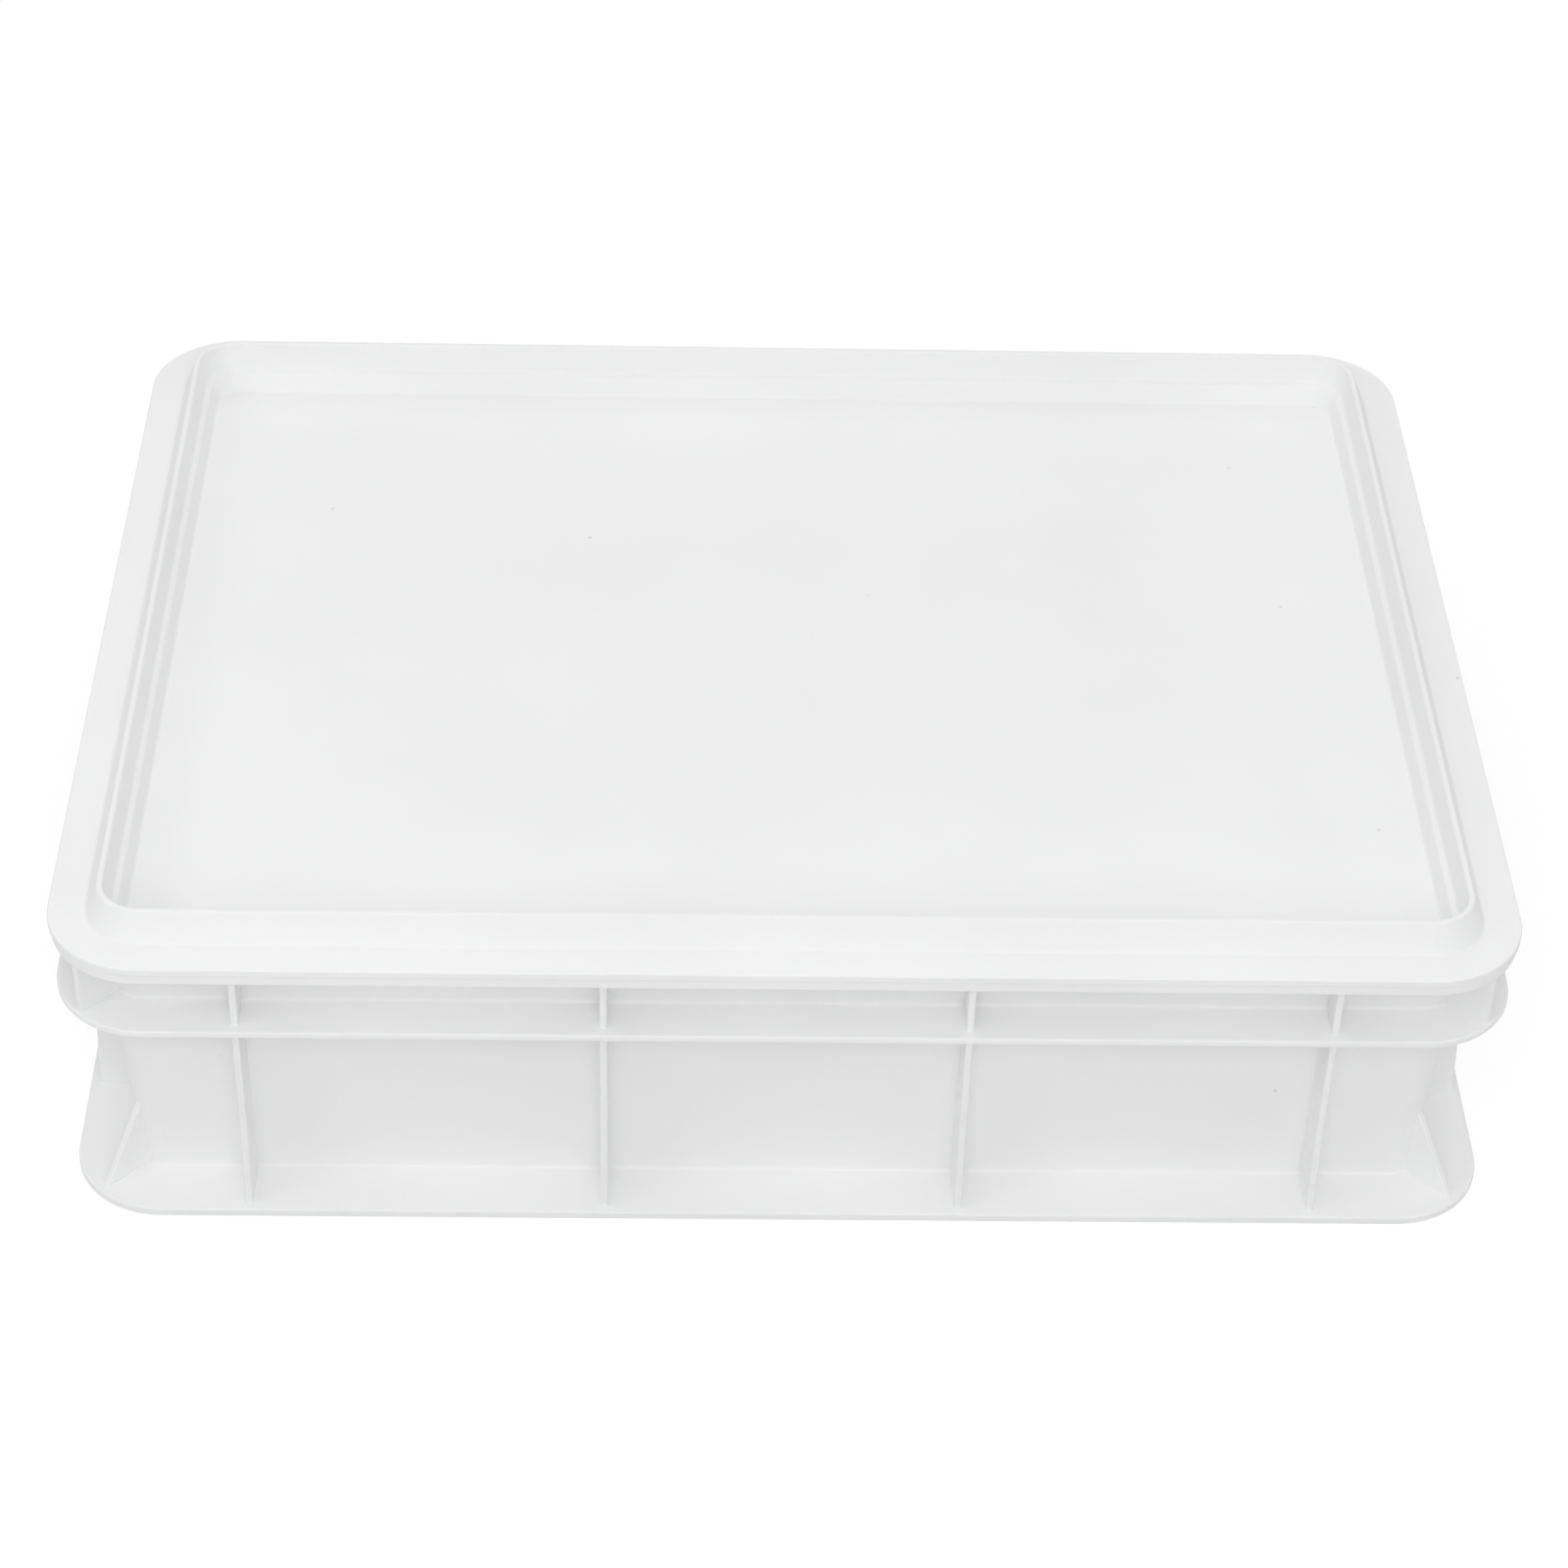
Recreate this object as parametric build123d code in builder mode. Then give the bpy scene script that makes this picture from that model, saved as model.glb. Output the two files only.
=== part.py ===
from build123d import *
import os

# A dough proofing container in millimetres: a thin-walled rectangular box moulded in one piece,
# with three flanges joined by upright ribs, and a lid moulded in one piece, with a raised ridge
# round a sunken panel. X runs along the long side, Y to the back, Z up. The origin is the middle
# of the base, on the surface that the box stands on.
# An inset is a distance in from the lid's outline, which is the widest.

# Outline
box_length = 400.0
box_width = 310.0
outline_corner_radius = 26.5

# Wall and floor of the container
seat_height = 90.0
wall_thickness = 2.0
wall_foot_inset = 18.8
wall_top_inset = 13.3
floor_thickness = 2.4
floor_recess_depth = 1.0
foot_ring_past_wall = 3.4
floor_sweep_share = 0.7

# Flanges
flange_inset = 0.6
base_flange_thickness = 2.6
base_flange_inset = 0.9
channel_height = 16.9
grip_flange_thickness = 2.2
seat_flange_thickness = 3.4
flange_edge_radius = 0.6
flange_root_radius = 0.8

# Lip that stands up from the wall into the hollow of the lid's ridge
lip_inset = 12.9
lip_height = 3.5
lip_thickness = 1.5
lip_edge_radius = 0.4

# Ribs outside the wall, and the plates and gussets in the corners
ribs_per_long_side = 4
ribs_per_short_side = 3
long_side_rib_pitch = 99.3
short_side_rib_pitch = 102.0
rib_thickness = 2.0
rib_edge_radius = 0.5
rib_top_inset = 3.4
rib_waist_inset = 4.7
rib_foot_inset = 3.4
rib_waist_height = 32.0
channel_rib_inset = 3.7
corner_plate_inset = 1.4
corner_gusset_height = 24.5
corner_gusset_foot_inset = 2.8

# Lid
lid_rim_thickness = 2.4
lid_skin_thickness = 1.7
lid_panel_thickness = 2.0
lid_edge_radius = 0.5
ridge_height = 8.6
ridge_foot_inset = 10.3
ridge_crest_inset = 13.9
ridge_crest_width = 1.6
ridge_crest_radius = 0.7
ridge_hollow_height = 6.0
shoulder_inset = 16.9
shoulder_width = 1.7
shoulder_fall = 0.7
recess_foot_inset = 20.1
recess_depth_below_rim = 6.9
recess_root_radius = 0.8
plug_inset = 15.9

seat_flange_bottom = seat_height - seat_flange_thickness
grip_flange_top = seat_flange_bottom - channel_height
grip_flange_bottom = grip_flange_top - grip_flange_thickness
lip_top = seat_height + lip_height
floor_top = floor_recess_depth + floor_thickness
rim_top = seat_height + lid_rim_thickness
ridge_top = rim_top + ridge_height
hollow_top = seat_height + ridge_hollow_height
shoulder_end_inset = shoulder_inset + shoulder_width
shoulder_low = rim_top - shoulder_fall
panel_top = rim_top - recess_depth_below_rim
panel_bottom = panel_top - lid_panel_thickness


def between(height, low_point, high_point):
    """Inset at a height on the straight line through two points given as (inset, height)."""
    low_inset, low_height = low_point
    high_inset, high_height = high_point
    return low_inset + (high_inset - low_inset) * (height - low_height) / (high_height - low_height)


def wall_inset(height):
    """Inset of the drafted outside of the wall."""
    wall_foot = (wall_foot_inset, base_flange_thickness)
    return between(height, wall_foot, (wall_top_inset, seat_flange_bottom))


def ridge_inset(height):
    """Inset of the ridge's outer slope."""
    return between(height, (ridge_foot_inset, rim_top), (ridge_crest_inset, ridge_top))


def ridge_inside_inset(height):
    """Inset of the ridge's steep inner side, above the shoulder."""
    crest = (ridge_crest_inset + ridge_crest_width, ridge_top)
    return between(height, (shoulder_inset, rim_top), crest)


def step_inset(height):
    """Inset of the step from the shoulder down to the panel."""
    return between(height, (recess_foot_inset, panel_top), (shoulder_end_inset, shoulder_low))


# The rings reach in past the last rounded corner, and flat plates fill the middle.
inner_foot_inset = wall_inset(floor_top) + wall_thickness
floor_sweep_radius = (outline_corner_radius - inner_foot_inset) * floor_sweep_share
floor_seam_inset = (inner_foot_inset + floor_sweep_radius + outline_corner_radius) / 2
panel_seam_inset = (recess_foot_inset + outline_corner_radius) / 2
foot_ring_inset = wall_foot_inset + foot_ring_past_wall

# Sections, as corners given as (inset, height, radius)
container_corners = [
    (base_flange_inset, 0, flange_edge_radius),
    (base_flange_inset, base_flange_thickness, flange_edge_radius),
    (wall_foot_inset, base_flange_thickness, flange_root_radius),
    (wall_inset(grip_flange_bottom), grip_flange_bottom, flange_root_radius),
    (flange_inset, grip_flange_bottom, flange_edge_radius),
    (flange_inset, grip_flange_top, flange_edge_radius),
    (wall_inset(grip_flange_top), grip_flange_top, flange_root_radius),
    (wall_top_inset, seat_flange_bottom, flange_root_radius),
    (flange_inset, seat_flange_bottom, flange_edge_radius),
    (flange_inset, seat_height, flange_edge_radius),
    (lip_inset, seat_height, 0),
    (lip_inset, lip_top, lip_edge_radius),
    (lip_inset + lip_thickness, lip_top, lip_edge_radius),
    (lip_inset + lip_thickness, seat_height, 0),
    (wall_inset(seat_height) + wall_thickness, seat_height, 0),
    (inner_foot_inset, floor_top, floor_sweep_radius),
    (floor_seam_inset, floor_top, 0),
    (floor_seam_inset, floor_recess_depth, 0),
    (foot_ring_inset, floor_recess_depth, 0),
    (foot_ring_inset, 0, 0),
]
lid_corners = [
    (0, seat_height, lid_edge_radius),
    (0, rim_top, lid_edge_radius),
    (ridge_foot_inset, rim_top, recess_root_radius),
    (ridge_crest_inset, ridge_top, ridge_crest_radius),
    (ridge_crest_inset + ridge_crest_width, ridge_top, ridge_crest_radius),
    (shoulder_inset, rim_top, recess_root_radius),
    (shoulder_end_inset, shoulder_low, recess_root_radius),
    (recess_foot_inset, panel_top, recess_root_radius),
    (panel_seam_inset, panel_top, 0),
    (panel_seam_inset, panel_bottom, 0),
    (step_inset(panel_bottom) - lid_skin_thickness, panel_bottom, recess_root_radius),
    (plug_inset, seat_height, 0),
    (ridge_inside_inset(hollow_top) - lid_skin_thickness, hollow_top, 0),
    (ridge_inset(hollow_top) + lid_skin_thickness, hollow_top, 0),
    (ridge_inset(seat_height) + lid_skin_thickness, seat_height, 0),
]


def section(plane, corners):
    """A closed section on a plane whose local X is the inset and local Y the height."""
    points = [(inset, height) for inset, height, radius in corners]
    with BuildSketch(plane) as drawn:
        with BuildLine():
            Polyline(*points, close=True)
        make_face()
        for chosen_radius in sorted({radius for inset, height, radius in corners if radius}):
            spots = [Vector(inset, height) for inset, height, radius in corners if radius == chosen_radius]
            rounded = [
                vertex
                for vertex in drawn.vertices()
                if min((Vector(vertex.X, vertex.Y) - spot).length for spot in spots) < chosen_radius / 10
            ]
            fillet(rounded, radius=chosen_radius)
    return drawn.sketch


def ring(corners):
    """The section carried round the outline: along two half sides and a corner, then mirrored twice."""
    straight_x = box_length / 2 - outline_corner_radius
    straight_y = box_width / 2 - outline_corner_radius
    front_middle = Plane(origin=(0, -box_width / 2, 0), x_dir=(0, 1, 0), z_dir=(1, 0, 0))
    corner_start = Plane(origin=(straight_x, -box_width / 2, 0), x_dir=(0, 1, 0), z_dir=(1, 0, 0))
    side_start = Plane(origin=(box_length / 2, -straight_y, 0), x_dir=(-1, 0, 0), z_dir=(0, 1, 0))
    corner_axis = Axis((straight_x, -straight_y, 0), (0, 0, 1))
    with BuildPart() as quarter:
        extrude(section(front_middle, corners), amount=straight_x)
        revolve(section(corner_start, corners), axis=corner_axis, revolution_arc=90)
        extrude(section(side_start, corners), amount=straight_y)
        mirror(about=Plane.YZ)
        mirror(about=Plane.XZ)
    return quarter.part


def outward_plate(free_edge, root):
    """An upright plate in the XZ plane, the box's outline at X zero; both edges list (inset, height)."""
    with BuildPart() as plate:
        with BuildSketch(Plane.XZ):
            with BuildLine():
                Polyline(*[(-inset, height) for inset, height in free_edge + root], close=True)
            make_face()
        extrude(amount=rib_thickness / 2, both=True)
        outward_faces = plate.faces().filter_by(lambda face: face.normal_at().X > 0.5)
        fillet(outward_faces.edges().filter_by(Axis.Y, reverse=True), radius=rib_edge_radius)
    return plate.part


def spread(count, pitch):
    """Places along a side for that many ribs, a pitch apart, about the middle."""
    return [pitch * (index - (count - 1) / 2) for index in range(count)]


# Ribs start and end inside the flanges and in the middle of the wall's thickness.
base_flange_middle = base_flange_thickness / 2
grip_flange_middle = grip_flange_top - grip_flange_thickness / 2
seat_flange_middle = seat_height - seat_flange_thickness / 2
lower_rib = outward_plate(
    [
        (rib_foot_inset, base_flange_middle),
        (rib_waist_inset, rib_waist_height),
        (rib_top_inset, grip_flange_middle),
    ],
    [
        (wall_inset(grip_flange_middle) + wall_thickness / 2, grip_flange_middle),
        (wall_inset(base_flange_middle) + wall_thickness / 2, base_flange_middle),
    ],
)
channel_root = [
    (wall_inset(seat_flange_middle) + wall_thickness / 2, seat_flange_middle),
    (wall_inset(grip_flange_middle) + wall_thickness / 2, grip_flange_middle),
]
channel_rib = outward_plate(
    [(channel_rib_inset, grip_flange_middle), (channel_rib_inset, seat_flange_middle)], channel_root
)
corner_plate = outward_plate(
    [(corner_plate_inset, grip_flange_middle), (corner_plate_inset, seat_flange_middle)], channel_root
)
gusset_top = base_flange_thickness + corner_gusset_height
corner_gusset = outward_plate(
    [(corner_gusset_foot_inset, base_flange_middle), (wall_inset(gusset_top) + wall_thickness / 2, gusset_top)],
    [(wall_inset(base_flange_middle) + wall_thickness / 2, base_flange_middle)],
)

rib_places = []
for x in spread(ribs_per_long_side, long_side_rib_pitch):
    rib_places.append(Location((x, -box_width / 2, 0), (0, 0, -90)))
    rib_places.append(Location((x, box_width / 2, 0), (0, 0, 90)))
for y in spread(ribs_per_short_side, short_side_rib_pitch):
    rib_places.append(Location((box_length / 2, y, 0), (0, 0, 0)))
    rib_places.append(Location((-box_length / 2, y, 0), (0, 0, 180)))
corner_places = []
for side_x, side_y, angle in ((1, 1, 45), (-1, 1, 135), (-1, -1, -135), (1, -1, -45)):
    diagonal = outline_corner_radius / 2**0.5
    corner_x = side_x * (box_length / 2 - outline_corner_radius + diagonal)
    corner_y = side_y * (box_width / 2 - outline_corner_radius + diagonal)
    corner_places.append(Location((corner_x, corner_y, 0), (0, 0, angle)))

container_ring = ring(container_corners)
lid_ring = ring(lid_corners)

with BuildPart() as container:
    add(container_ring)
    with BuildSketch(Plane.XY.offset(floor_recess_depth)):
        RectangleRounded(
            box_length - 2 * floor_seam_inset,
            box_width - 2 * floor_seam_inset,
            outline_corner_radius - floor_seam_inset,
        )
    extrude(amount=floor_thickness)
    with Locations(*rib_places):
        add(lower_rib)
        add(channel_rib)
    with Locations(*corner_places):
        add(corner_plate)
        add(corner_gusset)

with BuildPart() as lid:
    add(lid_ring)
    with BuildSketch(Plane.XY.offset(panel_bottom)):
        RectangleRounded(
            box_length - 2 * panel_seam_inset,
            box_width - 2 * panel_seam_inset,
            outline_corner_radius - panel_seam_inset,
        )
    extrude(amount=lid_panel_thickness)

container.part.label = "container"
lid.part.label = "lid"

os.makedirs("parts", exist_ok=True)
export_step(container.part, "parts/container.step")
export_step(lid.part, "parts/lid.step")
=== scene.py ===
import math

import bpy
from mathutils import Matrix, Vector


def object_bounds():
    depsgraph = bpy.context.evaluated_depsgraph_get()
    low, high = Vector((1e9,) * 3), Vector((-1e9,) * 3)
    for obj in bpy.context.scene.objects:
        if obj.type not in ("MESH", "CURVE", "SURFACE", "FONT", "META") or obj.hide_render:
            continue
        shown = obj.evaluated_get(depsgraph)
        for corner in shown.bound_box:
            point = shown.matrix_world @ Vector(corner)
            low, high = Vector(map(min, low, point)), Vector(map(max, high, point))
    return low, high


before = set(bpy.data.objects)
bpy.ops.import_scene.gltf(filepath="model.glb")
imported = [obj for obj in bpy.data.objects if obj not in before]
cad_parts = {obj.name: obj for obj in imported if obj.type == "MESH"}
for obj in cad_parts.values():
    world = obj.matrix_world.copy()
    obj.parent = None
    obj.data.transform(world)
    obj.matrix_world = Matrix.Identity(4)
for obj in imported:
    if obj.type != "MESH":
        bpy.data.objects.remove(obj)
cad_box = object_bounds()

# Camera, as fitted to the photograph: places in metres and turns in radians
CAMERA_PLACE = Vector((-0.0289, -0.936, 0.78517))
CAMERA_YAW = 0.03318
CAMERA_DOWNWARD = 0.67640
CAMERA_ROLL = 0.03093
FOCAL_PIXELS = 4001.6
PHOTO_PIXELS = 1600
SENSOR_WIDTH_MM = 36.0
CLIP_START = 0.01
CLIP_END = 50

# Plastic. Colours are linear, a noise has features 1 / scale metres apart, and bumps are in metres.
PLASTIC_COLOUR = (0.943, 0.944, 0.947)
PLASTIC_IOR = 1.49
CLOUD_NOISE = {"scale": 14, "detail": 3.0}
CLOUD_SPREAD = {"low": 0.35, "high": 0.65}
CLOUD_DARK = 0.985
CLOUD_LIGHT = 1.01
SPECK_COLOUR = (0.42, 0.40, 0.37)
SPECK_CELLS_PER_METRE = 40
SPECK_EDGE = {"low": 0.012, "high": 0.032, "out_low": 1.0, "out_high": 0.0}
SPECK_NOISE = {"scale": 30, "detail": 1.0}
SPECK_STRENGTH = {"low": 0.4, "high": 0.6, "out_low": 0.05, "out_high": 0.4}
HANDLING_NOISE = {"scale": 38, "detail": 4.0, "roughness": 0.6}
SATIN_ROUGHNESS = {"low": 0.3, "high": 0.7, "out_low": 0.50, "out_high": 0.62}
GRAIN_NOISE = {"scale": 2400, "detail": 2.0}
GRAIN_BUMP = {"strength": 0.12, "depth": 0.00008}
WAVE_NOISE = {"scale": 22, "detail": 1.0}
WAVE_BUMP = {"strength": 0.35, "depth": 0.0006}

# Floor: a diffuse colour for light that bounces, and a fainter one over a glow for the camera
FLOOR_HALF_SIZE = 6.0
FLOOR_DROP = 0.0001
FLOOR_COLOUR = (0.75, 0.75, 0.75)
FLOOR_SHADOW_COLOUR = (0.30, 0.30, 0.30)
FLOOR_GLOW = 0.76

# World: its light rises with the height of the direction it comes from, 1 being the zenith
SKY_RISE = {"low": 0.1, "high": 0.7, "out_low": 0.36, "out_high": 0.765}
BACKDROP_STRENGTH = 1.0
WHITE = (1, 1, 1)

# Soft boxes: angles in degrees, with azimuth 0 in front and 90 to the right; sizes in metres
LAMP_DISTANCE = 1.6
LAMPS = {
    "front": {"azimuth": 0, "elevation": 35, "size": 0.8, "watts": 5.0},
    "left": {"azimuth": -60, "elevation": 35, "size": 0.5, "watts": 1.6},
    "right": {"azimuth": 60, "elevation": 35, "size": 0.5, "watts": 0.5},
    "back": {"azimuth": 180, "elevation": 50, "size": 0.8, "watts": 1.6},
}


def make_camera():
    """The photograph's view: looking down at the long front side, a little rolled."""
    forward = Vector(
        (
            math.sin(CAMERA_YAW) * math.cos(CAMERA_DOWNWARD),
            math.cos(CAMERA_YAW) * math.cos(CAMERA_DOWNWARD),
            -math.sin(CAMERA_DOWNWARD),
        )
    )
    level_right = Vector((math.cos(CAMERA_YAW), -math.sin(CAMERA_YAW), 0))
    level_up = level_right.cross(forward)
    right = math.cos(CAMERA_ROLL) * level_right + math.sin(CAMERA_ROLL) * level_up
    up = math.cos(CAMERA_ROLL) * level_up - math.sin(CAMERA_ROLL) * level_right
    turn = Matrix((right, up, -forward)).transposed().to_4x4()
    data = bpy.data.cameras.new("camera")
    data.sensor_width = SENSOR_WIDTH_MM
    data.lens = SENSOR_WIDTH_MM * FOCAL_PIXELS / PHOTO_PIXELS
    data.clip_start = CLIP_START
    data.clip_end = CLIP_END
    camera = bpy.data.objects.new("camera", data)
    camera.matrix_world = Matrix.Translation(CAMERA_PLACE) @ turn
    bpy.context.scene.collection.objects.link(camera)
    bpy.context.scene.camera = camera


class Nodes:
    """A short way to add nodes to a material or a world and to wire them."""

    def __init__(self, owner):
        owner.use_nodes = True
        self.tree = owner.node_tree
        self.tree.nodes.clear()

    def add(self, kind, **settings):
        node = self.tree.nodes.new(kind)
        for name, value in settings.items():
            setattr(node, name, value)
        return node

    def wire(self, source, target):
        self.tree.links.new(source, target)

    def noise(self, place, scale, detail, roughness=0.5):
        """Noise with features 1 / scale metres apart."""
        node = self.add("ShaderNodeTexNoise")
        node.inputs["Scale"].default_value = scale
        node.inputs["Detail"].default_value = detail
        node.inputs["Roughness"].default_value = roughness
        self.wire(place, node.inputs["Vector"])
        return node.outputs["Fac"]

    def ramp(self, value, low, high, out_low=0.0, out_high=1.0):
        """A straight rise from one value range to another, held at both ends."""
        node = self.add("ShaderNodeMapRange", clamp=True)
        node.inputs["From Min"].default_value = low
        node.inputs["From Max"].default_value = high
        node.inputs["To Min"].default_value = out_low
        node.inputs["To Max"].default_value = out_high
        self.wire(value, node.inputs["Value"])
        return node.outputs["Result"]

    def mix(self, share, first, second):
        """Mixes two colours; each is a socket or a plain colour."""
        node = self.add("ShaderNodeMix", data_type="RGBA")
        self.wire(share, node.inputs["Factor"])
        for name, value in (("A", first), ("B", second)):
            socket = next(s for s in node.inputs if s.name == name and s.type == "RGBA")
            if isinstance(value, tuple):
                socket.default_value = (*value, 1)
            else:
                self.wire(value, socket)
        return next(s for s in node.outputs if s.type == "RGBA")

    def math(self, operation, first, second):
        """Joins two sockets by one operation."""
        node = self.add("ShaderNodeMath", operation=operation)
        self.wire(first, node.inputs[0])
        self.wire(second, node.inputs[1])
        return node.outputs["Value"]

    def bump(self, height, strength, depth, over=None):
        """A bump at most depth metres high, laid over another one where that is given."""
        node = self.add("ShaderNodeBump")
        node.inputs["Strength"].default_value = strength
        node.inputs["Distance"].default_value = depth
        self.wire(height, node.inputs["Height"])
        if over is not None:
            self.wire(over, node.inputs["Normal"])
        return node.outputs["Normal"]

    def diffuse(self, colour):
        node = self.add("ShaderNodeBsdfDiffuse")
        node.inputs["Color"].default_value = (*colour, 1)
        return node.outputs["BSDF"]

    def seen_directly(self):
        """1 for what is seen, also reflected or through glass, and 0 for light that bounces."""
        rays = self.add("ShaderNodeLightPath").outputs
        shiny = self.math("MAXIMUM", rays["Is Glossy Ray"], rays["Is Transmission Ray"])
        return self.math("MAXIMUM", rays["Is Camera Ray"], shiny)

    def finish_by_ray(self, output, bounced, seen):
        """Wires one shader to the output for light that bounces, and another for what is seen."""
        chosen = self.add("ShaderNodeMixShader")
        self.wire(self.seen_directly(), chosen.inputs["Fac"])
        self.wire(bounced, chosen.inputs[1])
        self.wire(seen, chosen.inputs[2])
        self.wire(chosen.outputs["Shader"], output.inputs["Surface"])


def shade(colour, factor):
    return tuple(channel * factor for channel in colour)


def make_plastic(name):
    """White satin polypropylene: cloudy by a hair, finely textured, with stray grey specks."""
    material = bpy.data.materials.new(name)
    nodes = Nodes(material)
    output = nodes.add("ShaderNodeOutputMaterial")
    shader = nodes.add("ShaderNodeBsdfPrincipled")
    shader.inputs["IOR"].default_value = PLASTIC_IOR
    nodes.wire(shader.outputs["BSDF"], output.inputs["Surface"])
    place = nodes.add("ShaderNodeTexCoord").outputs["Object"]

    # Slight clouding, some centimetres across, where the melt cooled at different rates
    clouds = nodes.ramp(nodes.noise(place, **CLOUD_NOISE), **CLOUD_SPREAD)
    dark, light = shade(PLASTIC_COLOUR, CLOUD_DARK), shade(PLASTIC_COLOUR, CLOUD_LIGHT)
    base = nodes.mix(clouds, dark, light)

    # Stray faint specks, about a millimetre across and some centimetres apart
    cells = nodes.add("ShaderNodeTexVoronoi", voronoi_dimensions="3D", feature="F1")
    cells.inputs["Scale"].default_value = SPECK_CELLS_PER_METRE
    nodes.wire(place, cells.inputs["Vector"])
    near_speck = nodes.ramp(cells.outputs["Distance"], **SPECK_EDGE)
    uneven = nodes.ramp(nodes.noise(place, **SPECK_NOISE), **SPECK_STRENGTH)
    speck = nodes.math("MULTIPLY", near_speck, uneven)
    nodes.wire(nodes.mix(speck, base, SPECK_COLOUR), shader.inputs["Base Color"])

    # Satin, a little patchy from handling
    satin = nodes.ramp(nodes.noise(place, **HANDLING_NOISE), **SATIN_ROUGHNESS)
    nodes.wire(satin, shader.inputs["Roughness"])

    # The mould's fine texture, under a slow waviness of the skin
    grain = nodes.bump(nodes.noise(place, **GRAIN_NOISE), **GRAIN_BUMP)
    waves = nodes.bump(nodes.noise(place, **WAVE_NOISE), **WAVE_BUMP, over=grain)
    nodes.wire(waves, shader.inputs["Normal"])
    return material


def dress(node_name, material):
    """Gives a CAD node its material, in place of the plain one that it was packed with."""
    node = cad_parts[node_name]
    node.data.materials.clear()
    node.data.materials.append(material)


def make_floor():
    """A white floor that fills the view and keeps a soft shadow of the box."""
    half = FLOOR_HALF_SIZE
    mesh = bpy.data.meshes.new("floor")
    corners = [(-half, -half, 0), (half, -half, 0), (half, half, 0), (-half, half, 0)]
    mesh.from_pydata(corners, [], [(0, 1, 2, 3)])
    floor = bpy.data.objects.new("floor", mesh)
    floor.location.z = -FLOOR_DROP
    bpy.context.scene.collection.objects.link(floor)

    material = bpy.data.materials.new("floor_white")
    nodes = Nodes(material)
    output = nodes.add("ShaderNodeOutputMaterial")
    glow = nodes.add("ShaderNodeEmission")
    glow.inputs["Strength"].default_value = FLOOR_GLOW
    seen = nodes.add("ShaderNodeAddShader")
    nodes.wire(nodes.diffuse(FLOOR_SHADOW_COLOUR), seen.inputs[0])
    nodes.wire(glow.outputs["Emission"], seen.inputs[1])
    nodes.finish_by_ray(output, nodes.diffuse(FLOOR_COLOUR), seen.outputs["Shader"])
    mesh.materials.append(material)


def make_world():
    """White light all round, weaker at the horizon, and a white backdrop past the floor's edge."""
    world = bpy.data.worlds.new("studio")
    nodes = Nodes(world)
    output = nodes.add("ShaderNodeOutputWorld")
    direction = nodes.add("ShaderNodeSeparateXYZ")
    nodes.wire(nodes.add("ShaderNodeTexCoord").outputs["Generated"], direction.inputs["Vector"])
    light = nodes.add("ShaderNodeBackground")
    nodes.wire(nodes.ramp(direction.outputs["Z"], **SKY_RISE), light.inputs["Strength"])
    backdrop = nodes.add("ShaderNodeBackground")
    backdrop.inputs["Strength"].default_value = BACKDROP_STRENGTH
    for background in (light, backdrop):
        background.inputs["Color"].default_value = (*WHITE, 1)
    nodes.finish_by_ray(output, light.outputs["Background"], backdrop.outputs["Background"])
    bpy.context.scene.world = world


def add_lamp(name, azimuth, elevation, size, watts):
    """A square soft box aimed at the box's middle."""
    turn, rise = math.radians(azimuth), math.radians(elevation)
    level = math.cos(rise)
    away = Vector((math.sin(turn) * level, -math.cos(turn) * level, math.sin(rise)))
    data = bpy.data.lights.new(name, "AREA")
    data.shape = "SQUARE"
    data.size = size
    data.energy = watts
    lamp = bpy.data.objects.new(name, data)
    middle = (cad_box[0] + cad_box[1]) / 2
    lamp.location = middle + away * LAMP_DISTANCE
    lamp.rotation_mode = "QUATERNION"
    lamp.rotation_quaternion = away.to_track_quat("Z", "Y")
    bpy.context.scene.collection.objects.link(lamp)


make_camera()
make_world()
make_floor()
for lamp_name, lamp_settings in LAMPS.items():
    add_lamp(lamp_name, **lamp_settings)
dress("container", make_plastic("container_plastic"))
dress("lid", make_plastic("lid_plastic"))
bpy.context.scene.view_settings.view_transform = "Standard"
